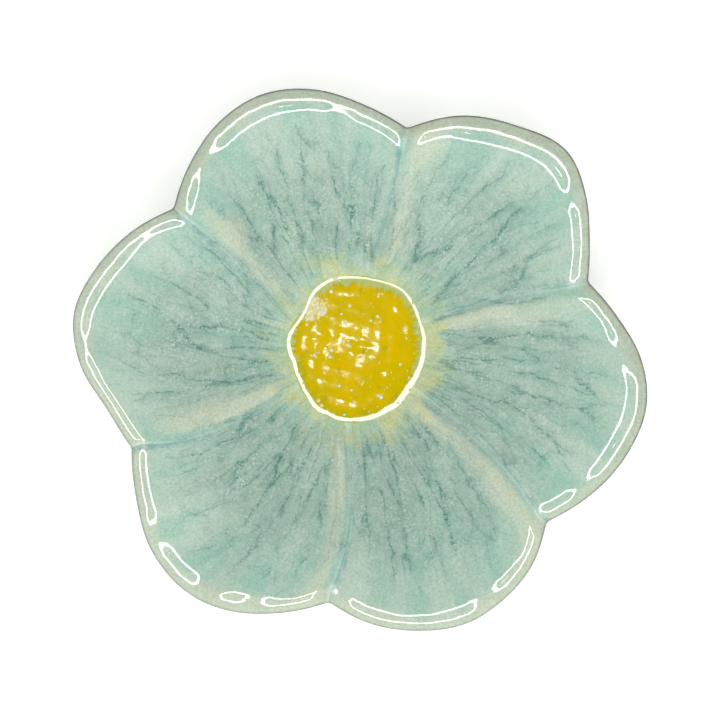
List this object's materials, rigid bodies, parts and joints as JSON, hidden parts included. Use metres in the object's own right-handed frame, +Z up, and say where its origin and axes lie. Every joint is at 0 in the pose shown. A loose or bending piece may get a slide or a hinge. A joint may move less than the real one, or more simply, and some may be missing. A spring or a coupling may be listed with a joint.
{
  "type": "mixing palette",
  "caption": "Shallow flower-shaped glazed ceramic palette: lapped petal slabs slope down to a flat round well of yellow glaze, on a bare foot ring.",
  "frame": {"origin": "centre of the foot ring's resting face, on the axis of the well, at table height", "axes": "+Z up, out of the bowl; +X along the longest way across the flower, towards the right petal; +Y towards the notch between the two top petals"},
  "size_m": [0.13, 0.1227, 0.0249],
  "materials": {
    "bare_clay": "matte",
    "petal_glaze": "gloss",
    "pool_glaze": "gloss"
  },
  "bodies": {
    "root": {"base_disc": "bare_clay", "foot_ring": "bare_clay", "petal_right": "bare_clay", "petal_top_right": "bare_clay", "petal_top_left": "bare_clay", "petal_left": "bare_clay", "petal_bottom_left": "bare_clay", "petal_bottom": "bare_clay", "glaze_right": "petal_glaze", "glaze_top_right": "petal_glaze", "glaze_top_left": "petal_glaze", "glaze_left": "petal_glaze", "glaze_bottom_left": "petal_glaze", "glaze_bottom": "petal_glaze", "centre_glaze": "pool_glaze"}
  },
  "joints": []
}
